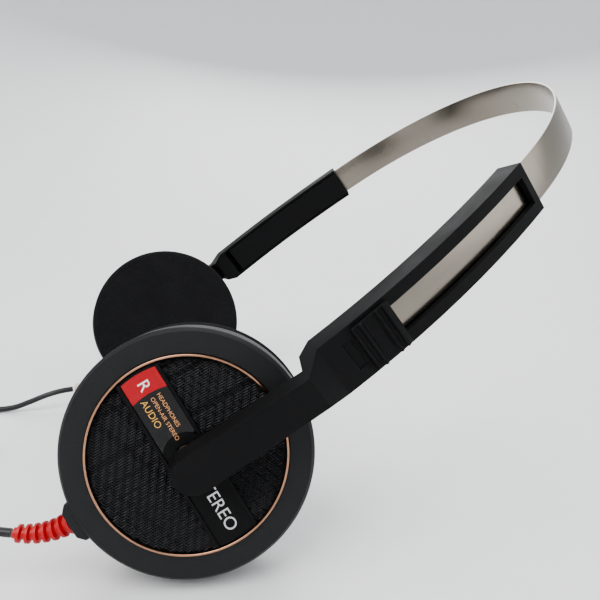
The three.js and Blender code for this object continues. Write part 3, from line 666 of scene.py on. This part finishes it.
# ------------------------------------------------------------------------------------------------ studio
@dataclass
class Studio:
    """A pale floor that curves up all round, soft lights and the camera."""

    floor_radius: float = 420.0  # mm, where the floor starts to rise
    sweep_radius: float = 1500.0
    wall_height: float = 300.0
    camera_place: Place = (-0.12209, -0.17489, -0.01896)
    camera_right: Place = (0.9625, -0.2711, -0.0025)
    camera_up: Place = (0.0678, 0.2320, 0.9703)
    lens: float = 34.12
    lights: tuple[tuple[str, Place, float, float], ...] = (
        ("key_light", (-0.55, -0.35, 0.75), 0.8, 8.0),
        ("fill_light", (0.75, -0.6, 0.45), 0.9, 3.5),
        ("back_light", (0.25, 0.85, 0.7), 0.9, 8.0),
    )

    def build(self, palette: Palette, shop: Shop) -> None:
        """Makes the floor, the lights and the camera.

        Args:
            palette: the materials.
            shop: makes the floor's mesh.
        """
        def sweep(work: bmesh.types.BMesh) -> None:
            """A round floor at the table's level whose rim turns up into a low wall."""
            centre = (self.floor_radius, self.sweep_radius)
            outline = [(0.0, 0.0), (40.0, 0.0), (200.0, 0.0)]
            outline += [circle_point(self.sweep_radius, angle, centre) for angle in range(-90, 1, 3)]
            outline.append((self.floor_radius + self.sweep_radius, self.sweep_radius + self.wall_height))
            verts = [work.verts.new((radius, 0.0, rise + TABLE_LEVEL)) for radius, rise in outline]
            edges = [work.edges.new(pair) for pair in zip(verts, verts[1:])]
            bmesh.ops.spin(work, geom=[*verts, *edges], cent=(0, 0, 0), axis=(0, 0, 1), dvec=(0, 0, 0),
                           angle=2 * math.pi, steps=96, use_merge=True, use_duplicate=False)
        floor = shop.piece("studio_floor", sweep, Matrix.Identity(4))
        floor.data.materials.append(palette["studio_floor"])
        for name, place, size, power in self.lights:
            self._light(name, Vector(place), size, power)
        self._world()
        self._camera()

    def _light(self, name: str, place: Vector, size: float, power: float) -> None:
        """A square soft light that faces the cups."""
        data = bpy.data.lights.new(name, "AREA")
        data.size = size
        data.energy = power
        lamp = bpy.data.objects.new(name, data)
        aim = Vector((-0.08, 0.0, -0.06)) - place
        lamp.matrix_world = Matrix.Translation(place) @ aim.to_track_quat("-Z", "Y").to_matrix().to_4x4()
        bpy.context.scene.collection.objects.link(lamp)

    def _world(self) -> None:
        """An even pale surround."""
        world = bpy.data.worlds.new("studio")
        world.use_nodes = True
        world.node_tree.nodes["Background"].inputs["Color"].default_value = (0.88, 0.91, 0.95, 1.0)
        world.node_tree.nodes["Background"].inputs["Strength"].default_value = 0.85
        bpy.context.scene.world = world
        bpy.context.scene.view_settings.look = "AgX - Medium High Contrast"

    def _camera(self) -> None:
        """The camera, close and a little above the cups."""
        data = bpy.data.cameras.new("camera")
        data.lens = self.lens
        data.sensor_width = 36.0
        data.clip_start = 0.01
        camera = bpy.data.objects.new("camera", data)
        right, up = Vector(self.camera_right), Vector(self.camera_up)
        turn = Matrix((right, up, right.cross(up))).transposed().to_4x4()
        camera.matrix_world = Matrix.Translation(Vector(self.camera_place)) @ turn
        bpy.context.scene.collection.objects.link(camera)
        bpy.context.scene.camera = camera


# ------------------------------------------------------------------------------------------------ cords
@dataclass
class Cords:
    """The two branches, the split, the main cord with its coil, and the plug. Routes are in millimetres: x, y and
    the height above the table."""

    branch_diameter: float = 2.0
    main_diameter: float = 2.6
    right_route: tuple[Place, ...] = (
        (-153.7, -53.4, 12.5), (-157.6, -52.5, 13.0), (-163, -51.4, 12.3), (-169.5, -50.8, 10.0),
        (-176.5, -51, 6.5), (-183.5, -52, 3.3), (-191, -53.4, 1.4), (-199, -55, 1.07), (-215, -57.5, 1.07),
        (-236, -58.5, 1.07), (-257, -56.5, 1.07), (-274, -49.5, 1.07), (-286, -37, 1.07), (-290, -21.5, 1.07),
        (-284, -8.5, 1.07), (-270, -2.9, 1.2), (-254.3, -2.4, 2.0),
    )
    left_route: tuple[Place, ...] = (
        (-150.7, 42.6, 7.0), (-154.6, 42.1, 6.9), (-160, 41.8, 5.9), (-166, 42.2, 3.8), (-172, 43.2, 1.8),
        (-179, 45, 1.09), (-190, 48.5, 1.07), (-209, 54, 1.07), (-230, 58, 1.07), (-250, 58.5, 1.07),
        (-268, 53.5, 1.07), (-282, 43, 1.07), (-290, 28, 1.07), (-289.5, 13.5, 1.07), (-281, 4.6, 1.07),
        (-270, 2.7, 1.2), (-254.3, 2.4, 2.0),
    )
    lead_route: tuple[Place, ...] = (
        (-239.7, 0, 2.0), (-235, -0.9, 1.5), (-229, -4.4, 1.32), (-222, -9.6, 1.32), (-215.5, -13.2, 1.32),
        (-209.3, -14.4, 1.32),
    )
    tail_route: tuple[Place, ...] = (
        (-205.5, 24.4, 3.94), (-212.0, 24.8, 3.7), (-219, 25.7, 2.9), (-227, 26.8, 2.3), (-234, 27.4, 2.7),
        (-239.5, 27.6, 3.4), (-242.0, 27.6, 3.6),
    )
    coil_centre: Point = (-198.0, 6.0)
    coil_outer: float = 20.4  # middle of the outermost turn
    coil_inner: float = 8.4
    coil_turns: float = 8.5
    coil_pitch: float = 2.62
    lower_turns: float = 4.4  # where the cord climbs to the upper layer
    climb_turns: float = 0.6
    layer_height: float = 2.64
    points_per_turn: int = 16

    def row_points(self, route: Sequence[Place]) -> list[Vector]:
        """A route in the row frame, in metres."""
        return [Vector((x, y, z + TABLE_LEVEL)) * MM for x, y, z in route]

    def coil_route(self) -> list[Place]:
        """The coil: a spiral inward on the table and a second one outward on top of it.

        Returns:
            Its points.
        """
        points = []
        for i in range(int(self.coil_turns * self.points_per_turn) + 1):
            turn = i / self.points_per_turn
            climb = min(max((turn - self.lower_turns) / self.climb_turns, 0.0), 1.0)
            end_of_lower = self.coil_outer - self.coil_pitch * self.lower_turns
            if climb <= 0:
                radius = self.coil_outer - self.coil_pitch * turn
            elif climb < 1:
                radius = end_of_lower - (end_of_lower - self.coil_inner) * math.sin(math.pi * climb)
            else:
                radius = end_of_lower + self.coil_pitch * (turn - self.lower_turns - self.climb_turns)
            rise = climb * climb * (3 - 2 * climb) * self.layer_height
            x, y = circle_point(radius, 360 * turn - 90, self.coil_centre)
            points.append((x, y, self.main_diameter / 2 + 0.02 + rise))
        return points

    def build(self, shop: Shop) -> None:
        """Makes every piece of the cord.

        Args:
            shop: makes the pieces.
        """
        fine_split = shop.refined("cord_split", 0.5, "cord_split_fine", 3)
        split = shop.finished(fine_split, "cord_moulding", "headband",
                              ["cord_split"])
        self._branch(shop, Side.RIGHT, self.right_route, [split])
        self._branch(shop, Side.LEFT, self.left_route, [])
        plug = self._plug(shop)
        clip = shop.finished(shop.refined("coil_clip", 0.25, "coil_clip_fine"), "black_plastic", "headband",
                             ["coil_clip"])
        route = self.row_points([*self.lead_route, *self.coil_route(), *self.tail_route])
        main = shop.line("main_cord", [route], self.main_diameter / 2 * MM, 4)
        length = self._length(shop.centreline(main))
        shop.finished(main, "cord_jacket", "headband", ["cord_lead", "cord_coil", "cord_tail"])
        route[0]

    def _branch(self, shop: Shop, side: Side, route: Sequence[Place], ends: list[bpy.types.Object]) -> None:
        """A branch from a cup to the split.

        Args:
            shop: makes the piece.
            side: the cup's side.
            route: its route.
            ends: not used.
        """
        points = self.row_points(route)
        curve = shop.line(f"{side.label}_branch", [points], self.branch_diameter / 2 * MM, 4)
        path = shop.centreline(curve)
        branch = shop.meshed(curve)
        shop.finished(branch, "cord_jacket", "", [f"{side.label}_cord_branch"])
        points[1]
        points[9]
        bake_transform(branch)
        points[0]
        round(self._length(path), 3)

    def _length(self, points: Sequence[Vector]) -> float:
        """The length of a line through points."""
        return sum((b - a).length for a, b in zip(points, points[1:]))

    def _plug(self, shop: Shop) -> list[bpy.types.Object]:
        """The plug: a tapered sleeve, a moulded body and a three-contact pin.

        Args:
            shop: makes the pieces.

        Returns:
            The plug's pieces.
        """
        origin = self.row_points(self.tail_route)[-1]
        place = axes_at(origin, Vector((0, 1, 0)), Vector((-1, 0, 0)))
        sleeve = rounded([(1.32, 0.3, 0), (1.8, 0.3, 0.2), (2.4, 9.3, 0.3), (1.32, 9.3, 0)])
        body = rounded([(0.2, 9.6, 0), (2.6, 9.6, 0.3), (3.4, 12.0, 1.5), (3.6, 13.6, 2.0), (3.6, 22.6, 0.5),
                        (1.0, 22.6, 0)])
        tip = [(0.05, 36.9), (0.55, 36.85), (1.1, 36.3), (1.45, 35.6), (1.3, 34.9), (1.1, 34.3), (1.25, 33.8),
               (1.75, 33.2), (1.75, 32.1), (0.8, 32.1)]
        pieces = [
            shop.finished(shop.turned("plug_sleeve_fine", sleeve, place, 48), "cord_moulding", "headband",
                          ["plug_boot"]),
            shop.finished(shop.turned("plug_body_fine", body, place, 64), "plug_plastic", "headband",
                          ["plug_body"]),
            shop.finished(shop.turned("plug_tip", tip, place, 48, closed=False), "plug_metal", "headband",
                          ["plug_pin"]),
        ]
        for name, (high, low) in {"plug_ring": (31.3, 28.9), "plug_shank": (28.1, 22.9)}.items():
            outline = rounded([(0.8, low, 0), (1.75, low, 0.08), (1.75, high, 0.08), (0.8, high, 0)])
            pieces.append(shop.finished(shop.turned(name, outline, place, 48), "plug_metal", "headband"))
        for i, low in enumerate((28.1, 31.3)):
            outline = rounded([(0.8, low, 0), (1.7, low, 0.05), (1.7, low + 0.8, 0.05), (0.8, low + 0.8, 0)])
            band = shop.turned(f"plug_insulator_{i + 1}", outline, place, 48)
            pieces.append(shop.finished(band, "plug_plastic", "headband"))
        return pieces


# ------------------------------------------------------------------------------------------------ headband
@dataclass
class Headband:
    """The spring-steel band: one arc over the crown and a flatter arc down to each slider."""

    crown_height: float = 142.0
    crown_radius: float = 64.0
    side_radius: float = 152.0
    side_centre_x: float = 44.7
    width: float = 10.2
    thickness: float = 0.5
    end_angle: float = -0.63  # round the side bend, in degrees
    edge: float = 0.07
    side_steps: int = 24
    crown_steps: int = 72

    def build(self, shop: Shop, axes: FrameAxes) -> None:
        """Makes the band.

        Args:
            shop: makes the piece.
            axes: the frame's axes.
        """
        crown_x = self.crown_height - self.crown_radius
        drop = crown_x - self.side_centre_x
        side_y = -math.sqrt((self.side_radius - self.crown_radius) ** 2 - drop ** 2)
        meet = math.degrees(math.atan2(drop, -side_y))
        half_width, half = self.width / 2, self.thickness / 2
        start = math.radians(self.end_angle)

        def shape(work: bmesh.types.BMesh) -> None:
            """Turns the strip's section along its three arcs."""
            section = rounded([(-half, -half_width, self.edge), (half, -half_width, self.edge),
                               (half, half_width, self.edge), (-half, half_width, self.edge)], 3)
            verts = [work.verts.new((0, rise + self.side_radius, across)) for rise, across in section]
            face = work.faces.new(verts)
            turn = Matrix.Translation((self.side_centre_x, side_y, 0)) @ Matrix.Rotation(-start, 4, "Z")
            bmesh.ops.transform(work, matrix=turn, verts=verts)
            moved = [face]
            arcs = (((self.side_centre_x, side_y), meet - self.end_angle, self.side_steps),
                    ((crown_x, 0.0), 2 * (90 - meet), self.crown_steps),
                    ((self.side_centre_x, -side_y), meet - self.end_angle, self.side_steps))
            for (x, y), angle, steps in arcs:
                result = bmesh.ops.spin(work, geom=moved, cent=(x, y, 0), axis=(0, 0, 1), dvec=(0, 0, 0),
                                        angle=-math.radians(angle), steps=steps, use_duplicate=False)
                moved = [item for item in result["geom_last"] if isinstance(item, bmesh.types.BMFace)]
        band = shop.piece("headband_strip", shape, axes.assembly, 40.0)
        shop.finished(band, "band_steel", "headband", ["headband"])


# ------------------------------------------------------------------------------------------------ arms
@dataclass
class Arm:
    """One sliding arm with its cover, the knob that the band carries, and the stud of the ball joint."""

    side: Side
    shell_edge: float = 0.45
    knob_edge: float = 0.16
    stud_collar: float = 2.3

    def build(self, shop: Shop, axes: FrameAxes) -> None:
        """Makes the arm's pieces.

        Args:
            shop: makes the pieces.
            axes: the frame's axes.
        """
        name = self.side.label
        shell = shop.refined(f"{name}_arm_shell", self.shell_edge, segments=3)
        shop.finished(shell, "black_plastic", f"{name}_arm", [f"{name}_arm_shell"])
        cover = shop.refined(f"{name}_arm_cover", 0.2)
        shop.finished(cover, "black_plastic", f"{name}_arm", [f"{name}_arm_cover"])
        knob = shop.refined(f"{name}_slider_knob", self.knob_edge, segments=3)
        shop.finished(knob, "black_plastic", "headband", [f"{name}_slider_knob"])
        self._stud(shop, axes.arm(self.side))

    def _stud(self, shop: Shop, place: Matrix) -> None:
        """The stud's collar and shank, between the arm and the cup."""
        name = self.side.label
        outline = rounded([(0.05, -0.9, 0), (1.0, -0.9, 0.1), (1.0, 3.7, 0), (self.stud_collar, 4.0, 0.15),
                           (self.stud_collar, 4.9, 0.15), (1.4, 4.9, 0), (1.4, 8.5, 0.1), (0.05, 8.5, 0)], 3)
        stud = shop.turned(f"{name}_stud_turned", outline, place, 48)
        # The turned_steel finish is darkened well below bare steel: painted shade for the stud under the arm.
        shop.finished(stud, "turned_steel", f"{name}_stud", [f"{name}_pivot_stud"])


# ------------------------------------------------------------------------------------------------ cups
@dataclass
class Cup:
    """One ear cup: bezel, trim ring, woven grille, label bar, rear shell, foam pad and cord sleeve."""

    side: Side
    radius: float = 27.6
    face_radius: float = 26.8
    face: float = 2.2
    wall_bottom: float = -5.6
    trim_radius: float = 21.65
    trim_width: float = 0.6
    trim_top: float = 2.7
    grille_top: float = 1.65
    wire_pitch: float = 0.515
    wire_half: float = 0.17
    wire_wave: float = 0.12
    wire_angles: Point = (-1.8, -71.0)  # from the cup's x axis, as seen from outside
    label_half: float = 4.2
    bar_top: float = 2.45
    pad_radius: float = 27.8
    pad_face: float = -12.4
    pad_back: float = -8.7
    pad_crown: float = 0.25
    boss_reach: float = 29.6
    boot_length: float = 13.2
    boot_height: float = -2.2
    boot_rings: int = 7
    boot_groove: float = 0.75
    boot_bends: dict[Side, float] = field(default_factory=lambda: {Side.RIGHT: 40.0, Side.LEFT: 35.0})

    def build(self, shop: Shop, axes: FrameAxes) -> None:
        """Makes the cup's pieces.

        Args:
            shop: makes the pieces.
            axes: the frame's axes.
        """
        place = axes.cup(self.side)
        self._bezel(shop, place)
        self._trim(shop, place)
        self._grille(shop, place)
        self._label(shop, place)
        self._rear(shop, place)
        self._pad(shop, place)
        self._boot(shop, place)

    def _add(self, shop: Shop, obj: bpy.types.Object, slot: str, nodes: Sequence[str] = ()) -> bpy.types.Object:
        """Finishes a piece of this cup; nodes are named without the side."""
        name = self.side.label
        return shop.finished(obj, slot, f"{name}_cup", [f"{name}_{node}" for node in nodes])

    def _bezel(self, shop: Shop, place: Matrix) -> None:
        """The turned bezel and the boss that the cord leaves through."""
        name = self.side.label
        seat = self.trim_radius + self.trim_width / 2 + 0.1
        outline = rounded([
            (seat, self.face, 0.12), (seat, 1.05, 0), (seat - 1.9, 1.05, 0), (seat - 1.9, 0.7, 0),
            (self.radius - 1.2, 0.7, 0), (self.radius - 1.2, self.wall_bottom, 0.1),
            (self.radius, self.wall_bottom, 0.25), (self.radius, self.face - 1.0, 0.5),
            (self.face_radius, self.face, 0.25),
        ])
        ring = shop.turned(f"{name}_bezel_ring", outline, place, 160)
        self._add(shop, ring, "charcoal_plastic", ["cup_bezel"])
        half = 4.6
        plan = [(-self.radius + 1.2, -half), (1.4 - self.boss_reach, -half), (-self.boss_reach, 1.6 - half),
                (-self.boss_reach, half - 1.6), (1.4 - self.boss_reach, half), (-self.radius + 1.2, half)]
        boss = shop.prism(f"{name}_cord_boss", plan, self.wall_bottom, self.face - 1.1, place, 0.35)
        self._add(shop, boss, "charcoal_plastic")

    def _trim(self, shop: Shop, place: Matrix) -> None:
        """The thin polished ring round the grille."""
        inner, outer = self.trim_radius - self.trim_width / 2, self.trim_radius + self.trim_width / 2
        outline = rounded([(outer, 1.95, 0), (outer, self.trim_top, 0.26), (inner, self.trim_top, 0.26),
                           (inner, 1.95, 0)], 6)
        ring = shop.turned(f"{self.side.label}_trim_turned", outline, place, 160)
        self._add(shop, ring, "copper_trim", ["trim_ring"])

    def _grille(self, shop: Shop, place: Matrix) -> None:
        """Twilled wire cloth: each wire passes over two and under two of the other set."""
        name = self.side.label
        reach = self.trim_radius - 0.25
        first, second = (math.radians(-angle) for angle in self.wire_angles)
        along = [Vector((math.cos(turn), math.sin(turn))) for turn in (first, second)]
        skew = abs(along[0].cross(along[1]))
        step = self.wire_pitch / skew
        count = int(reach / step * 1.6)
        level = self.grille_top - self.wire_wave - self.wire_half * 0.5
        for which in (0, 1):
            routes = []
            for i in range(-count, count + 1):
                route = []
                for j in range(-count, count + 1):
                    flat = along[1 - which] * (i * step) + along[which] * (j * step)
                    if flat.length > reach:
                        continue
                    pair = (i, j) if which == 0 else (j, i)
                    over = ((pair[0] + pair[1]) % 4 < 2) == (which == 0)
                    rise = self.wire_wave if over else -self.wire_wave
                    route.append(place @ (Vector((flat.x, level + rise, flat.y)) * MM))
                if len(route) > 1:
                    routes.append(route)
            wires = shop.line(f"{name}_wires_{which + 1}", routes, self.wire_half * MM, 0, smooth_line=False)
            wires.data.use_fill_caps = False
            self._add(shop, shop.meshed(wires, 80.0), "woven_mesh", ["mesh_grille"] if which == 0 else [])
        backing = [(0.01, level - 0.55), (reach, level - 0.55), (reach, level - 0.75), (0.01, level - 0.75)]
        cloth = shop.turned(f"{name}_grille_backing", backing, place, 96)
        self._add(shop, cloth, "black_foam")

    def _between_arcs(self, low: float, high: float) -> list[Point]:
        """A strip of the bar between two circles about the pivot, towards the cup's -z side.

        Args:
            low: the inner circle's radius.
            high: the outer circle's radius.

        Returns:
            Its outline as x and z.
        """
        half = self.label_half
        across = [half * (2 * i / 12 - 1) for i in range(13)]
        inner = [(x, -math.sqrt(max(low ** 2 - x ** 2, 0.0))) for x in across]
        outer = [(x, -math.sqrt(high ** 2 - x ** 2)) for x in reversed(across)]
        return inner + outer

    def _label(self, shop: Shop, place: Matrix) -> None:
        """The bar across the grille: a gloss label on one side of the pivot, silver words on the other."""
        name = self.side.label
        bar = shop.refined(f"{name}_label_bar", 0.12, f"{name}_bar_fine")
        self._add(shop, bar, "black_plastic", ["label_bar"])
        label = shop.prism(f"{name}_gloss_label", self._between_arcs(5.2, 20.6), self.bar_top,
                           self.bar_top + 0.08, place, 0.03, 1)
        self._add(shop, label, "label_gloss")
        block = shop.prism(f"{name}_label_block", self._between_arcs(15.7, 20.5), self.bar_top + 0.05,
                           self.bar_top + 0.12, place, 0.02, 1)
        on_right = self.side is Side.RIGHT
        self._add(shop, block, "label_red" if on_right else "print_white")
        prints = (
            ("channel_letter", "R" if on_right else "L", 3.7, -17.7, 0.0, 0.13,
             "print_white" if on_right else "label_gloss"),
            ("label_maker", "HEADPHONES", 1.3, -10.6, 1.75, 0.09, "print_copper"),
            ("label_kind", "OPEN-AIR STEREO", 1.3, -9.3, 0.1, 0.09, "print_copper"),
            ("label_name", "AUDIO", 2.1, -11.6, -1.9, 0.09, "print_gold"),
            ("plate_words", "STEREO", 3.9, 12.2, 0.0, 0.02, "print_silver"),
        )
        for piece, words, size, along, sideways, rise, ink in prints:
            spot = place @ Matrix.Translation(Vector((sideways, self.bar_top + rise, along)) * MM)
            text = shop.lettering(f"{name}_{piece}", words, size, spot)
            self._add(shop, text, ink)

    def _rear(self, shop: Shop, place: Matrix) -> None:
        """The rear shell between the bezel and the pad."""
        top = self.wall_bottom - 0.3
        outline = rounded([(17.2, top, 0), (17.2, top - 1.4, 0), (self.radius - 1.9, top - 1.4, 0),
                           (self.radius - 1.2, top - 2.5, 0.2), (self.radius - 0.2, top - 2.0, 0.3),
                           (self.radius - 0.2, top, 0.1)])
        shell = shop.turned(f"{self.side.label}_rear_turned", outline, place, 128)
        self._add(shop, shell, "black_plastic", ["rear_shell"])

    def _pad(self, shop: Shop, place: Matrix) -> None:
        """The round foam pad, slightly crowned, its rim soft."""
        edge = self.pad_radius
        low, high = self.pad_face, self.pad_back
        section = [(0.01, low - self.pad_crown), (edge * 0.5, low - self.pad_crown * 0.8), (edge - 4, low)]
        section += [circle_point(1.75, angle, (edge - 1.75, low + 1.8)) for angle in range(-80, 41, 15)]
        section += [(edge - 0.7, high), (0.01, high)]
        pad = shop.turned(f"{self.side.label}_foam_pad", section, place, 144, closed=False, smooth=60.0)
        self._add(shop, pad, "black_foam", ["ear_pad"])

    def _boot(self, shop: Shop, place: Matrix) -> None:
        """The ribbed sleeve round the cord, bent towards the table."""
        bend = math.radians(self.boot_bends[self.side])
        start = self.boss_reach + 0.1
        steps = self.boot_rings * 12
        points, radii = [], []
        for i in range(steps + 1):
            share = i / steps
            along = self.boot_length * share
            turn = bend * share
            sideways = along * turn / 2 * self.side.value
            inward = -start - along * (1 - turn ** 2 / 6)
            points.append(place @ (Vector((inward, self.boot_height, sideways)) * MM))
            ring = 2.6 - 0.7 * share
            wave = math.sin(2 * math.pi * self.boot_rings * share - 0.6)
            radii.append(ring - self.boot_groove * (1 - min(max(wave * 1.8 + 0.5, 0.0), 1.0)))
        boot = shop.line(f"{self.side.label}_boot_ribbed", [points], 1.0 * MM, 7, radii, smooth_line=False)
        slot = "red_rubber" if self.side is Side.RIGHT else "ivory_rubber"
        self._add(shop, shop.meshed(boot, 50.0), slot, ["cord_boot"])


# ------------------------------------------------------------------------------------------------ whole model
def dress_cad(nodes: dict[str, bpy.types.Object], palette: Palette, record: dict) -> None:
    """Gives every CAD node its slot's material.

    Args:
        nodes: the CAD nodes by name.
        palette: the materials.
        record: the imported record.
    """
    slots = {part["node"]: part["material_slot"] for part in record["subparts"]}
    for name, obj in nodes.items():
        for material_slot in obj.material_slots:
            material_slot.link = "OBJECT"
            material_slot.material = palette[slots[name]]


def main() -> None:
    """Builds the scene."""
    logging.basicConfig(level=logging.INFO, format="%(message)s")
    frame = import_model()
    palette = Palette()
    shop = Shop(palette, frame["nodes"])
    Studio().build(palette, shop)
    Cords().build(shop)
    axes = FrameAxes(frame)
    dress_cad(frame["nodes"], palette, frame["record"])
    Headband().build(shop, axes)
    for side in Side:
        Arm(side).build(shop, axes)
        Cup(side).build(shop, axes)
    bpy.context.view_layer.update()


if __name__ == "__main__":
    main()
